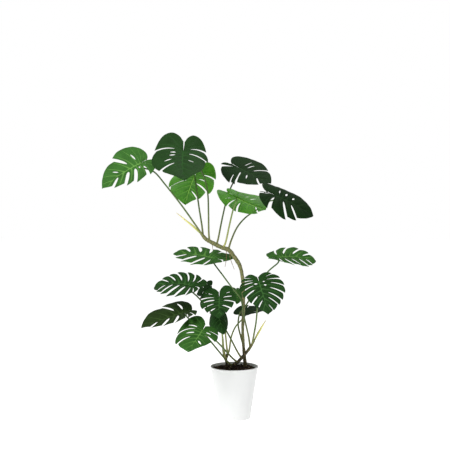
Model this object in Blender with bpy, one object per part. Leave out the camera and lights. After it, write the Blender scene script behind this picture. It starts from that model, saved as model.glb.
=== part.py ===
"""Monstera plant in a round tapered pot, one object for each physical piece.

Units are metres, +Z is up, and the origin is the middle of the pot's flat underside.
The viewer's side of the plant is -Y.
"""
import bpy
import bmesh
import numpy as np
from collections import namedtuple
from math import atan2, ceil, cos, hypot, pi, radians, sin, sqrt
from mathutils import Matrix, Vector

GAP = 0.0003                 # clearance between pieces that touch

# Pot
POT_HEIGHT = 0.232
POT_RIM_RADIUS = 0.108
POT_BASE_RADIUS = 0.071
POT_WALL = 0.0035
POT_FLOOR = 0.008
RIM_BAND_HEIGHT = 0.010
RIM_BAND_DEPTH = 0.0008
POT_SEGMENTS = 48

# Potting soil
SOIL_TOP = 0.221
SOIL_CLEARANCE = 0.0008      # to the pot's inner wall

# Leaf blades
BLADE_THICKNESS = 0.0014
BLADE_ROWS = (0.0, 0.22, 0.42, 0.7, 1.0)
BLADE_COLUMNS = 11           # over one half of a blade, from the sinus to the tip
SPLIT_GAP = 0.028            # half width of a split at the margin, in blade lengths
VEIN_BEND = radians(20)
LOBE_TAPER = 0.16
PETIOLE_END_RADIUS = 0.0026

# Half of the heart-shaped margin, in blade lengths from the petiole's joint:
# from the sinus, round the basal lobe, to the tip
HALF_MARGIN = (
    (-0.17, 0.012), (-0.255, 0.085), (-0.29, 0.21), (-0.235, 0.355), (-0.085, 0.475), (0.10, 0.54),
    (0.30, 0.545), (0.50, 0.48), (0.69, 0.36), (0.84, 0.22), (0.945, 0.09), (1.0, 0.0),
)

COLOURS = {
    "white_glaze": ((0.85, 0.85, 0.84, 1), 0.3, 0.0),
    "soil": ((0.035, 0.025, 0.018, 1), 0.95, 0.0),
    "stem_bark": ((0.12, 0.09, 0.04, 1), 0.7, 0.0),
    "petiole_green": ((0.08, 0.11, 0.03, 1), 0.5, 0.0),
    "new_leaf_yellow": ((0.55, 0.45, 0.12, 1), 0.5, 0.0),
    "root_brown": ((0.22, 0.15, 0.08, 1), 0.8, 0.0),
    "leaf_green": ((0.03, 0.12, 0.02, 1), 0.4, 0.0),
}


def clear_scene():
    for thing in list(bpy.data.objects):
        bpy.data.objects.remove(thing, do_unlink=True)


def make_material(name, look):
    colour, roughness, metallic = COLOURS[look]
    material = bpy.data.materials.new(name)
    material.use_nodes = True
    shader = material.node_tree.nodes["Principled BSDF"]
    shader.inputs["Base Color"].default_value = colour
    shader.inputs["Roughness"].default_value = roughness
    shader.inputs["Metallic"].default_value = metallic
    material.diffuse_color = colour
    return material


def add_object(name, mesh, look):
    thing = bpy.data.objects.new(name, mesh)
    thing.data.materials.append(make_material(name + "_material", look))
    bpy.context.scene.collection.objects.link(thing)
    return thing


def add_cutter(name, mesh):
    thing = bpy.data.objects.new(name, mesh)
    thing.hide_render = True
    thing.display_type = "WIRE"
    bpy.context.scene.collection.objects.link(thing)
    return thing


def cut(thing, cutter):
    boolean = thing.modifiers.new("cut_" + cutter.name, "BOOLEAN")
    boolean.operation = "DIFFERENCE"
    boolean.solver = "EXACT"
    boolean.object = cutter


def finish_mesh(name, shape, sharp_angle=35):
    bmesh.ops.recalc_face_normals(shape, faces=shape.faces)
    mesh = bpy.data.meshes.new(name)
    shape.to_mesh(mesh)
    shape.free()
    mesh.shade_smooth()
    mesh.set_sharp_from_angle(angle=radians(sharp_angle))
    return mesh


def smooth_path(points, steps):
    """Catmull-Rom points through the given (x, y, z, radius) rows."""
    rows = [Vector(point) for point in points]
    rows = [2 * rows[0] - rows[1]] + rows + [2 * rows[-1] - rows[-2]]
    path = []
    for a, b, c, d in zip(rows, rows[1:], rows[2:], rows[3:]):
        for step in range(steps):
            t = step / steps
            path.append(0.5 * (2 * b + (c - a) * t + (2 * a - 5 * b + 4 * c - d) * t ** 2
                               + (3 * b - a - 3 * c + d) * t ** 3))
    path.append(rows[-2])
    return path


def tube_mesh(name, points, sides, steps=2, extra=0.0):
    """A round tube with closed ends through (x, y, z, radius) rows, grown all round by extra."""
    path = smooth_path(points, steps)
    path[0] += extra * (path[0] - path[1]).normalized()
    path[-1] += extra * (path[-1] - path[-2]).normalized()
    shape = bmesh.new()
    rings = []
    normal = None
    for index, row in enumerate(path):
        centre = row.to_3d()
        ahead = path[min(index + 1, len(path) - 1)].to_3d()
        behind = path[max(index - 1, 0)].to_3d()
        along = (ahead - behind).normalized()
        if normal is None:
            normal = along.orthogonal().normalized()
        normal = (normal - along * normal.dot(along)).normalized()
        across = along.cross(normal)
        radius = row[3] + extra
        ring = []
        for side in range(sides):
            angle = 2 * pi * side / sides
            ring.append(shape.verts.new(centre + radius * (cos(angle) * normal + sin(angle) * across)))
        rings.append(ring)
    for low, high in zip(rings, rings[1:]):
        for side in range(sides):
            other = (side + 1) % sides
            shape.faces.new((low[side], low[other], high[other], high[side]))
    shape.faces.new(rings[0][::-1])
    shape.faces.new(rings[-1])
    return finish_mesh(name, shape, 50)


def lathe_mesh(name, profile, segments):
    """Turn a closed (radius, height) profile that starts and ends on the axis."""
    shape = bmesh.new()
    rings = []
    for radius, height in profile:
        if radius == 0:
            rings.append([shape.verts.new((0, 0, height))])
            continue
        angles = [2 * pi * step / segments for step in range(segments)]
        rings.append([shape.verts.new((radius * cos(a), radius * sin(a), height)) for a in angles])
    for low, high in zip(rings, rings[1:]):
        for step in range(segments):
            other = (step + 1) % segments
            corners = [low[step % len(low)], low[other % len(low)]]
            corners += [high[other % len(high)], high[step % len(high)]]
            shape.faces.new(list(dict.fromkeys(corners)))
    return finish_mesh(name, shape)


# ---- pot and soil ----

def wall_radius(height):
    """Outer radius of the pot's straight tapered wall."""
    return POT_BASE_RADIUS + (POT_RIM_RADIUS - RIM_BAND_DEPTH - POT_BASE_RADIUS) * height / POT_HEIGHT


def make_pot():
    band_foot = POT_HEIGHT - RIM_BAND_HEIGHT
    foot_edge = 0.002
    rim_round = 0.0012
    outer = [
        (0, 0), (POT_BASE_RADIUS - foot_edge, 0), (wall_radius(foot_edge), foot_edge),
        (wall_radius(band_foot), band_foot), (POT_RIM_RADIUS - 0.0004, band_foot + 0.0008),
        (POT_RIM_RADIUS, POT_HEIGHT - rim_round), (POT_RIM_RADIUS - rim_round, POT_HEIGHT),
    ]
    inner = [
        (wall_radius(POT_HEIGHT) - POT_WALL + rim_round, POT_HEIGHT),
        (wall_radius(POT_HEIGHT) - POT_WALL, POT_HEIGHT - rim_round),
        (wall_radius(POT_FLOOR) - POT_WALL, POT_FLOOR), (0, POT_FLOOR),
    ]
    return add_object("pot", lathe_mesh("pot", outer + inner, POT_SEGMENTS), "white_glaze")


def make_soil(cutters):
    bottom = POT_FLOOR + GAP
    clearance = POT_WALL + SOIL_CLEARANCE
    profile = [
        (0, bottom), (wall_radius(bottom) - clearance, bottom),
        (wall_radius(SOIL_TOP) - clearance, SOIL_TOP - 0.002),
        (wall_radius(SOIL_TOP) - clearance - 0.003, SOIL_TOP),
        (0.05, SOIL_TOP + 0.0015), (0, SOIL_TOP + 0.002),
    ]
    soil = add_object("potting_soil", lathe_mesh("potting_soil", profile, POT_SEGMENTS), "soil")
    for cutter in cutters:
        cut(soil, cutter)
    return soil


# ---- stems: rows of (x, y, z, radius) ----

STEMS = {
    "main_stem": (
        (0.050, 0.030, 0.180, 0.0090), (0.050, 0.030, 0.226, 0.0095), (0.044, 0.022, 0.291, 0.0075),
        (0.040, 0.016, 0.346, 0.0070), (0.038, 0.010, 0.403, 0.0070), (0.042, 0.000, 0.515, 0.0070),
        (0.041, -0.003, 0.565, 0.0075), (0.036, -0.006, 0.632, 0.0080), (0.024, -0.006, 0.684, 0.0090),
        (-0.004, -0.004, 0.728, 0.0100), (-0.026, -0.002, 0.754, 0.0100), (-0.059, 0.000, 0.766, 0.0100),
        (-0.093, 0.002, 0.783, 0.0095), (-0.128, 0.000, 0.803, 0.0090), (-0.149, 0.000, 0.828, 0.0060),
    ),
    "side_cane": (
        (-0.015, 0.012, 0.180, 0.0070), (-0.013, 0.010, 0.223, 0.0080), (0.016, -0.008, 0.252, 0.0075),
        (0.052, -0.030, 0.296, 0.0070), (0.070, -0.038, 0.322, 0.0065), (0.087, -0.045, 0.351, 0.0050),
    ),
    "back_cane": (
        (-0.028, 0.030, 0.180, 0.0055), (-0.034, 0.028, 0.226, 0.0060), (-0.036, 0.026, 0.263, 0.0055),
        (-0.031, 0.026, 0.286, 0.0045),
    ),
}

NEW_LEAVES = {
    "new_leaf_top": (
        "main_stem",
        ((-0.150, -0.001, 0.826, 0.0030), (-0.177, -0.004, 0.853, 0.0045), (-0.217, -0.010, 0.886, 0.0035),
         (-0.259, -0.014, 0.920, 0.0010)),
    ),
    "new_leaf_side": (
        "side_cane",
        ((0.087, -0.044, 0.351, 0.0030), (0.104, -0.041, 0.382, 0.0045), (0.122, -0.042, 0.414, 0.0038),
         (0.141, -0.045, 0.445, 0.0010)),
    ),
}

AERIAL_ROOTS = {
    "aerial_root_long": (
        (-0.022, -0.003, 0.750, 0.0016), (-0.017, -0.010, 0.713, 0.0014), (0.000, -0.012, 0.666, 0.0009),
    ),
    "aerial_root_middle": (
        (-0.037, -0.001, 0.757, 0.0016), (-0.036, -0.008, 0.718, 0.0014), (-0.042, -0.010, 0.678, 0.0009),
    ),
    "aerial_root_short": (
        (-0.098, 0.002, 0.783, 0.0014), (-0.098, 0.000, 0.767, 0.0012), (-0.096, -0.001, 0.752, 0.0009),
    ),
}

# ---- leaves ----
# joint: where the petiole meets the blade.  aim: heading, pitch and roll of the midrib in degrees.
# wide, base: width and basal lobe factors of the left and right half.
# bend: degrees of arch along the midrib, of droop behind the joint, of curl to the left and right
# margins, and of fold at the midrib.  skew: sideways sweep in blade lengths, and twist in degrees.
# left, right: splits as (place on the margin, inner end).
# stem, petiole: the stem that carries it and the (x, y, z) points of the petiole before the blade.

Leaf = namedtuple("Leaf", "joint aim length wide base bend skew left right stem petiole")

LEAVES = {
    "top_left": Leaf(
        (-0.413, -0.060, 1.140), (-161, -27, -32), 0.206, (0.96, 1.08), (0.91, 0.82),
        (17, 16, 29, -13, 9), (-0.01, -1),
        ((0.40, 0.35), (0.58, 0.12), (0.70, 0.12), (0.85, 0.12)), ((0.62, 0.30),), "main_stem",
        ((-0.134, -0.002, 0.806), (-0.159, -0.014, 0.844), (-0.234, -0.030, 0.951), (-0.308, -0.045, 1.046),
         (-0.355, -0.055, 1.100)),
    ),
    "top_centre": Leaf(
        (-0.223, -0.120, 1.187), (-94, -45, -6), 0.228, (0.91, 1.15), (1.42, 1.50),
        (-19, 35, 39, 36, 12), (0.11, 5),
        ((0.35, 0.30), (0.50, 0.17)), ((0.36, 0.28), (0.73, 0.28)), "main_stem",
        ((-0.112, 0.001, 0.794), (-0.115, -0.006, 0.835), (-0.116, -0.015, 0.924), (-0.119, -0.020, 1.005),
         (-0.134, -0.020, 1.076), (-0.167, -0.030, 1.138)),
    ),
    "top_pale": Leaf(
        (-0.180, 0.050, 1.090), (111, -31, 2), 0.217, (0.96, 0.92), (1.04, 1.50),
        (7, 38, 21, 37, 3), (-0.06, 3),
        ((0.56, 0.15),), ((0.35, 0.33), (0.64, 0.20), (0.82, 0.12)), "main_stem",
        ((-0.141, 0.004, 0.815), (-0.146, 0.012, 0.861), (-0.159, 0.014, 0.943), (-0.169, 0.015, 1.015)),
    ),
    "top_right": Leaf(
        (0.022, 0.100, 1.130), (-38, -25, 32), 0.196, (0.92, 0.95), (1.31, 1.38),
        (-5, 29, 16, 20, 6), (0.01, -1),
        ((0.70, 0.15),), ((0.15, 0.25), (0.47, 0.53), (0.56, 0.15), (0.86, 0.12)), "main_stem",
        ((-0.080, 0.002, 0.776), (-0.071, 0.012, 0.812), (-0.056, 0.030, 0.889), (-0.036, 0.050, 0.976),
         (-0.014, 0.070, 1.041)),
    ),
    "far_right": Leaf(
        (0.180, -0.100, 0.993), (7, -22, 37), 0.198, (1.13, 1.10), (1.22, 1.50),
        (18, 9, 42, 41, 11), (0.08, 5),
        (), ((0.07, 0.30), (0.33, 0.28), (0.59, 0.12), (0.70, 0.12)), "main_stem",
        ((-0.027, 0.000, 0.755), (-0.013, 0.008, 0.799), (0.013, 0.030, 0.855), (0.054, 0.060, 0.902),
         (0.118, 0.085, 0.945), (0.160, 0.058, 0.974)),
    ),
    "right_pale": Leaf(
        (0.009, -0.080, 0.987), (43, -19, -11), 0.212, (0.90, 0.82), (1.30, 1.48),
        (-14, 23, -4, 21, 2), (0.08, -31),
        ((0.48, 0.25), (0.62, 0.22), (0.89, 0.12)), (), "main_stem",
        ((-0.050, -0.001, 0.765), (-0.038, -0.014, 0.792), (-0.022, -0.035, 0.866), (-0.007, -0.065, 0.930)),
    ),
    "upper_left": Leaf(
        (-0.092, 0.060, 0.713), (156, 12, -19), 0.223, (0.97, 1.11), (0.92, 1.22),
        (17, 12, 17, 41, 13), (-0.04, -8),
        ((0.42, 0.42), (0.56, 0.22), (0.70, 0.22), (0.84, 0.22)),
        ((0.44, 0.42), (0.58, 0.22), (0.71, 0.22), (0.85, 0.22)), "side_cane",
        ((0.070, -0.037, 0.323), (0.063, -0.035, 0.369), (0.051, -0.037, 0.422), (0.041, -0.036, 0.466),
         (0.028, -0.028, 0.536), (-0.011, -0.010, 0.585), (-0.051, 0.020, 0.637)),
    ),
    "upper_right": Leaf(
        (0.192, -0.060, 0.722), (12, 7, 17), 0.185, (0.87, 1.09), (0.80, 1.05),
        (27, 24, 15, 2, 9), (0.01, 28),
        ((0.45, 0.42), (0.60, 0.22), (0.76, 0.22)),
        ((0.42, 0.42), (0.58, 0.22), (0.73, 0.22), (0.88, 0.22)), "main_stem",
        ((0.041, 0.018, 0.323), (0.030, 0.030, 0.358), (0.018, 0.036, 0.411), (0.024, 0.036, 0.461),
         (0.042, 0.030, 0.485), (0.062, 0.020, 0.517), (0.106, 0.000, 0.592), (0.150, -0.020, 0.657)),
    ),
    "middle_right": Leaf(
        (0.103, -0.160, 0.624), (-79, -34, 9), 0.193, (1.00, 0.87), (0.84, 0.92),
        (11, 18, 5, 16, 2), (0.01, -12),
        ((0.21, 0.51), (0.35, 0.33), (0.47, 0.41), (0.60, 0.35), (0.71, 0.30), (0.80, 0.28), (0.91, 0.35)),
        ((0.21, 0.48), (0.31, 0.22), (0.63, 0.22), (0.76, 0.17), (0.86, 0.15)), "side_cane",
        ((0.079, -0.043, 0.337), (0.086, -0.064, 0.384), (0.095, -0.070, 0.439), (0.100, -0.080, 0.501),
         (0.103, -0.100, 0.560)),
    ),
    "middle_left": Leaf(
        (-0.186, -0.100, 0.600), (165, 14, -18), 0.190, (1.15, 0.90), (0.76, 1.00),
        (39, 6, 34, 18, 16), (0, -16),
        ((0.49, 0.33), (0.62, 0.12), (0.76, 0.12), (0.84, 0.12)),
        ((0.53, 0.25), (0.65, 0.17), (0.75, 0.15), (0.85, 0.20)), "side_cane",
        ((0.032, -0.018, 0.271), (0.012, -0.020, 0.302), (-0.039, -0.013, 0.395), (-0.100, -0.025, 0.471),
         (-0.156, -0.055, 0.540)),
    ),
    "middle_front": Leaf(
        (-0.066, -0.115, 0.549), (-90, -29, 4), 0.172, (0.83, 0.93), (1.47, 1.21),
        (-11, 23, 3, 10, 12), (0, 3),
        ((0.57, 0.46), (0.73, 0.17), (0.86, 0.12)), ((0.43, 0.17), (0.67, 0.28), (0.77, 0.30)), "back_cane",
        ((-0.031, 0.025, 0.283), (-0.036, 0.018, 0.333), (-0.042, 0.013, 0.394), (-0.048, 0.000, 0.451),
         (-0.056, -0.035, 0.505)),
    ),
    "lower_centre": Leaf(
        (-0.073, -0.083, 0.479), (-82, -22, 12), 0.128, (0.75, 0.83), (1.01, 1.05),
        (35, 17, 83, 67, -10), (0.03, -20),
        ((0.62, 0.35),), (), "back_cane",
        ((-0.036, 0.026, 0.250), (-0.047, 0.006, 0.302), (-0.052, -0.015, 0.359), (-0.061, -0.048, 0.416)),
    ),
    "lower_left": Leaf(
        (-0.211, -0.120, 0.488), (-163, -15, -15), 0.205, (0.96, 1.07), (0.66, 0.65),
        (3, 32, 4, 16, 13), (0, -5),
        ((0.44, 0.33), (0.59, 0.12), (0.73, 0.12), (0.87, 0.12)), ((0.59, 0.33),), "side_cane",
        ((-0.008, 0.007, 0.233), (-0.033, -0.006, 0.255), (-0.108, -0.030, 0.349), (-0.166, -0.055, 0.421)),
    ),
    "lower_front": Leaf(
        (-0.136, -0.200, 0.422), (-108, -22, -25), 0.179, (0.82, 1.16), (0.92, 1.36),
        (-2, 23, -4, 53, 5), (-0.03, 23),
        ((0.61, 0.12), (0.80, 0.12)), ((0.49, 0.22), (0.72, 0.35)), "side_cane",
        ((0.014, -0.008, 0.250), (-0.013, -0.026, 0.276), (-0.076, -0.085, 0.353), (-0.111, -0.135, 0.386)),
    ),
    "back_right": Leaf(
        (0.044, 0.130, 0.460), (23, 22, 11), 0.125, (0.85, 0.93), (1.13, 0.88),
        (45, 4, -15, -7, 0), (0, 2),
        ((0.62, 0.40),), ((0.60, 0.40),), "back_cane",
        ((-0.034, 0.027, 0.264), (-0.022, 0.042, 0.300), (-0.014, 0.065, 0.350), (0.008, 0.090, 0.398)),
    ),
    "back_left": Leaf(
        (-0.118, 0.090, 0.580), (146, -23, -56), 0.095, (0.90, 0.90), (1.00, 1.00),
        (15, 20, 20, 20, 5), (0, 0),
        ((0.50, 0.35), (0.70, 0.25)), ((0.50, 0.35), (0.70, 0.25)), "back_cane",
        ((-0.035, 0.028, 0.240), (-0.050, 0.043, 0.285), (-0.056, 0.052, 0.377), (-0.074, 0.060, 0.477)),
    ),
    "middle_small": Leaf(
        (0.011, 0.060, 0.564), (-80, -30, -10), 0.080, (0.89, 0.85), (0.97, 0.99),
        (33, 7, 62, 16, 2), (-0.07, -27),
        (), (), "main_stem",
        ((0.039, 0.008, 0.440), (0.046, 0.054, 0.480), (0.034, 0.082, 0.530)),
    ),
}


def margin_point(place):
    """Point of the half margin at a fraction of its length, as arrays of x and y."""
    x = np.interp(place, MARGIN_PLACES, MARGIN_CURVE[:, 0])
    return x, np.interp(place, MARGIN_PLACES, MARGIN_CURVE[:, 1])


def margin_table():
    rows = smooth_path(HALF_MARGIN, 12)
    curve = np.array([tuple(row) for row in rows])
    lengths = np.concatenate([[0.0], np.cumsum(np.hypot(*np.diff(curve, axis=0).T))])
    return lengths / lengths[-1], curve


def flat_point(place, out):
    """Point on the flat half blade: place along the margin, out from midrib (0) to margin (1).

    A vein runs from the midrib to each place and bends toward the tip."""
    start = vein_start(place)
    end_x, end_y = margin_point(place)
    chord = hypot(end_x - start, end_y)
    angle = atan2(end_y, end_x - start) + VEIN_BEND * sin(pi * place)
    middle_x = start + 0.5 * chord * cos(angle)
    middle_y = 0.5 * chord * sin(angle)
    x = (1 - out) ** 2 * start + 2 * out * (1 - out) * middle_x + out ** 2 * end_x
    y = 2 * out * (1 - out) * middle_y + out ** 2 * end_y
    return x, y


def arc_step(distance, start, rate):
    """Forward and upward travel along an arc that turns down from the angle start."""
    if abs(rate) < 1e-6:
        return distance * cos(start), -distance * sin(start)
    angle = start + rate * distance
    return (sin(angle) - sin(start)) / rate, (cos(angle) - cos(start)) / rate


def bent_point(leaf, side, x, y):
    """Bend a flat point (blade lengths) into the leaf's own shape, in metres."""
    arch, droop, curl_left, curl_right, fold = leaf.bend
    sweep, twist = leaf.skew
    half = 0 if side > 0 else 1
    if x < 0:
        x *= leaf.base[half]
    y *= leaf.wide[half]
    rate = radians(arch) if x >= 0 else -radians(droop)
    ahead, height = arc_step(x, 0.0, rate)
    turn = rate * x
    curl = radians((curl_left, curl_right)[half]) / 0.55
    across, lift = arc_step(y, -radians(fold), curl)
    across *= side
    roll = radians(twist) * x
    across, lift = across * cos(roll) - lift * sin(roll), across * sin(roll) + lift * cos(roll)
    across += sweep * x * abs(x)
    return leaf.length * Vector((ahead + lift * sin(turn), across, height + lift * cos(turn)))


def leaf_rotation(leaf):
    """Columns: along the midrib, to the left, and out of the upper side."""
    heading, pitch, roll = (radians(value) for value in leaf.aim)
    along = Vector((cos(pitch) * cos(heading), cos(pitch) * sin(heading), sin(pitch)))
    level = Vector((-sin(heading), cos(heading), 0))
    left = cos(roll) * level + sin(roll) * along.cross(level)
    return Matrix((along, left, along.cross(left))).transposed()


def split_half_gap(out, root):
    """Half width of a split, as a share of the margin, at a distance out from the midrib."""
    if out <= root + 1e-6:
        return 0.0
    share = (out - root) / (1 - root)
    return SPLIT_GAP * sqrt(share) / (1.96 * out)


def nearest_row(root):
    return min(BLADE_ROWS[1:-1], key=lambda row: abs(row - root))


def vein_start(place):
    """Where on the midrib the vein to a place on the margin begins, in blade lengths."""
    return 0.85 * max(0.0, (place - 0.2) / 0.8) ** 2.1


def half_blade_grids(leaf, side, splits):
    """For each lobe of a half blade, its columns as (vein start, points outward from the midrib)."""
    borders = [(0.0, 1.0)] + [(place, nearest_row(root)) for place, root in splits] + [(1.0, 1.0)]
    grids = []
    for low, high in zip(borders, borders[1:]):
        columns = ceil((high[0] - low[0]) * BLADE_COLUMNS)
        grid = []
        for step in range(columns + 1):
            share = step / columns
            points = []
            for out in BLADE_ROWS[1:]:
                first = low[0] + split_half_gap(out, low[1])
                last = high[0] - split_half_gap(out, high[1])
                root = min(low[1] + (high[1] - low[1]) * share, 0.999)
                reach = out
                if out > root and low[0] > 0:
                    reach -= LOBE_TAPER * (1 - share) ** 2 * (out - root) ** 2 / (1 - root)
                x, y = flat_point(first + (last - first) * share, reach)
                points.append(bent_point(leaf, side, x, y))
            start = round(vein_start(low[0] + (high[0] - low[0]) * share), 3)
            grid.append((start, points))
        grids.append(grid)
    return grids


def upper_surface(leaf):
    """The blade's upper side: a grid for each lobe, joined along one midrib."""
    shape = bmesh.new()
    halves = {1: half_blade_grids(leaf, 1, leaf.left), -1: half_blade_grids(leaf, -1, leaf.right)}
    starts = sorted({start for grids in halves.values() for grid in grids for start, points in grid})
    midrib = {start: shape.verts.new(bent_point(leaf, 1, start, 0)) for start in starts}
    for side, grids in halves.items():
        for grid in grids:
            columns = [(start, [shape.verts.new(point) for point in points]) for start, points in grid]
            for (low, near), (high, far) in zip(columns, columns[1:]):
                between = [midrib[start] for start in starts if low <= start <= high]
                faces = [[near[0], far[0]] + between[::-1]]
                faces += [[near[row + 1], far[row + 1], far[row], near[row]] for row in range(len(near) - 1)]
                for corners in faces:
                    shape.faces.new(corners if side > 0 else corners[::-1])
    bmesh.ops.remove_doubles(shape, verts=shape.verts, dist=2e-5)
    shape.normal_update()
    return shape


def blade_mesh(name, leaf):
    """The upper side thickened downward into one closed solid and set in its place."""
    shape = upper_surface(leaf)
    turn = leaf_rotation(leaf)
    joint = Vector(leaf.joint)
    faces = list(shape.faces)
    borders = [edge for edge in shape.edges if len(edge.link_faces) == 1]
    lower = {vert: shape.verts.new(vert.co - vert.normal * BLADE_THICKNESS) for vert in list(shape.verts)}
    for face in faces:
        shape.faces.new([lower[vert] for vert in reversed(face.verts)])
    for edge in borders:
        loop = edge.link_loops[0]
        first, second = loop.vert, loop.link_loop_next.vert
        shape.faces.new((second, first, lower[first], lower[second]))
    for vert in shape.verts:
        vert.co = turn @ vert.co + joint
    return finish_mesh(name, shape)


def petiole_points(leaf):
    """Stem end first; the last stretch meets the blade's underside square on."""
    normal = leaf_rotation(leaf).col[2]
    joint = Vector(leaf.joint)
    rows = []
    for index, point in enumerate(leaf.petiole):
        rows.append((*point, (0.0048, 0.0040, 0.0037, 0.0035, 0.0034)[min(index, 4)]))
    rows.append((*(joint - 0.024 * normal), 0.0032))
    rows.append((*(joint - (BLADE_THICKNESS + 0.001) * normal), PETIOLE_END_RADIUS))
    return rows


MARGIN_PLACES, MARGIN_CURVE = margin_table()


def main():
    clear_scene()
    stem_cutters = {}
    for name, rows in STEMS.items():
        add_object(name, tube_mesh(name, rows, 10), "stem_bark")
        stem_cutters[name] = add_cutter("cutter_" + name, tube_mesh("cutter_" + name, rows, 10, extra=GAP))
    make_pot()
    make_soil(stem_cutters.values())
    for name, (stem, rows) in NEW_LEAVES.items():
        cut(add_object(name, tube_mesh(name, rows, 8), "new_leaf_yellow"), stem_cutters[stem])
    for name, rows in AERIAL_ROOTS.items():
        cut(add_object(name, tube_mesh(name, rows, 6), "root_brown"), stem_cutters["main_stem"])
    for place, leaf in LEAVES.items():
        add_object(f"leaf_{place}_blade", blade_mesh(f"leaf_{place}_blade", leaf), "leaf_green")
        petiole = f"leaf_{place}_petiole"
        stalk = add_object(petiole, tube_mesh(petiole, petiole_points(leaf), 6), "petiole_green")
        cut(stalk, stem_cutters[leaf.stem])


main()
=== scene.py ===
"""Finished looks of a monstera plant in a round tapered pot.

Units are metres, +Z is up, and the viewer's side is -Y.
"""

from collections import namedtuple
from math import cos, pi, radians, sin

import bpy
import numpy as np
from mathutils import Matrix, Vector


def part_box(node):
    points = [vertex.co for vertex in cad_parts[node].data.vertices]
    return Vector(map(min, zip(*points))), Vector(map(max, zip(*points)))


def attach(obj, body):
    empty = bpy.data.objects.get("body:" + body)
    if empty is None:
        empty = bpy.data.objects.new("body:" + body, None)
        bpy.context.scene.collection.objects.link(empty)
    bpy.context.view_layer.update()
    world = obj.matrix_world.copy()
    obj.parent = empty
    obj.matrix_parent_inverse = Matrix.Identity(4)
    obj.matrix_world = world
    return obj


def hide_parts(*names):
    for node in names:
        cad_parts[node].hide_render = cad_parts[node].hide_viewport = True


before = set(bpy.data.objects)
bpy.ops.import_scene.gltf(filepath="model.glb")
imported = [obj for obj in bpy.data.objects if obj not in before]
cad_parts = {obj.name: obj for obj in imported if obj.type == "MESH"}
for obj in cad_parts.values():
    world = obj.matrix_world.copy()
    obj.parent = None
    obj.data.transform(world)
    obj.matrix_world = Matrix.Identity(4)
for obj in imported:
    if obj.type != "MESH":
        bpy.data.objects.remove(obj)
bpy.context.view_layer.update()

# ---- measures ----

BLADE_THICKNESS = 0.0010
BLADE_COLUMNS = 46           # over one half of a blade, from the sinus to the tip
BLADE_ROWS = (0.03, 0.08, 0.14, 0.20, 0.27, 0.34, 0.41, 0.48, 0.55, 0.62, 0.69, 0.76, 0.83, 0.89, 0.95, 1.0)
MARGIN_LENGTH = 1.96         # of one half margin, in blade lengths
VEIN_BEND = radians(20)
VEIN_SPACING = 0.105         # between side veins, as a share of the half margin
LOBE_TAPER = 0.08            # slant of a lobe's end where its split is closed
TAPER_PER_GAP = 0.013        # and more of it for each millimetre of gap
LOBE_DROOP = 0.030           # of a lobe's two corners below its middle, in blade lengths
LOBE_LIFT = 0.014            # of a lobe's end, up or down at most, in blade lengths
QUILTING = 0.0085            # rise of the blade between two side veins, in blade lengths
RIPPLE = 0.004               # height of the margin's long waves, in blade lengths
RIPPLE_TURNS = 9             # half waves along one half margin
CURL_WIDTH = 0.55            # over which a margin's curl is spread, in blade lengths
VEINED_MIDRIB = 0.85         # share of the midrib that veins leave from
BASAL_PLACE = 0.2            # veins to places before this one all start at the joint
BLADE_SEED = 100             # the first leaf's random numbers
RIB_RADIUS = 0.0021          # of the raised midrib at the joint, more than at its tip
RIB_TIP_RADIUS = 0.0004
RIB_SIDES = 8

# Half of the heart-shaped margin, in blade lengths from the petiole's joint:
# from the sinus, round the basal lobe, to the tip
HALF_MARGIN = (
    (-0.17, 0.012), (-0.255, 0.085), (-0.29, 0.21), (-0.235, 0.355), (-0.085, 0.475), (0.10, 0.54),
    (0.30, 0.545), (0.50, 0.48), (0.69, 0.36), (0.84, 0.22), (0.945, 0.09), (1.0, 0.0),
)

# joint: where the petiole meets the blade.  aim: heading, pitch and roll of the midrib in degrees.
# wide, base: width and basal lobe factors of the left and right half.
# bend: degrees of arch along the midrib, of droop behind the joint, of curl to the left and right
# margins, and of fold at the midrib.  skew: sideways sweep in blade lengths, and twist in degrees.
# tone: the blade's finish.  stalk: the petiole's.
# left, right: openings as (place on the margin, inner end, outer end, gap in millimetres); one whose
# outer end is 1 is a split that runs out through the margin, and any other is a hole.
# petiole: the (x, y, z) points of the leaf stalk before the blade.
Leaf = namedtuple("Leaf", "joint aim length wide base bend skew tone stalk left right petiole")

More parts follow.
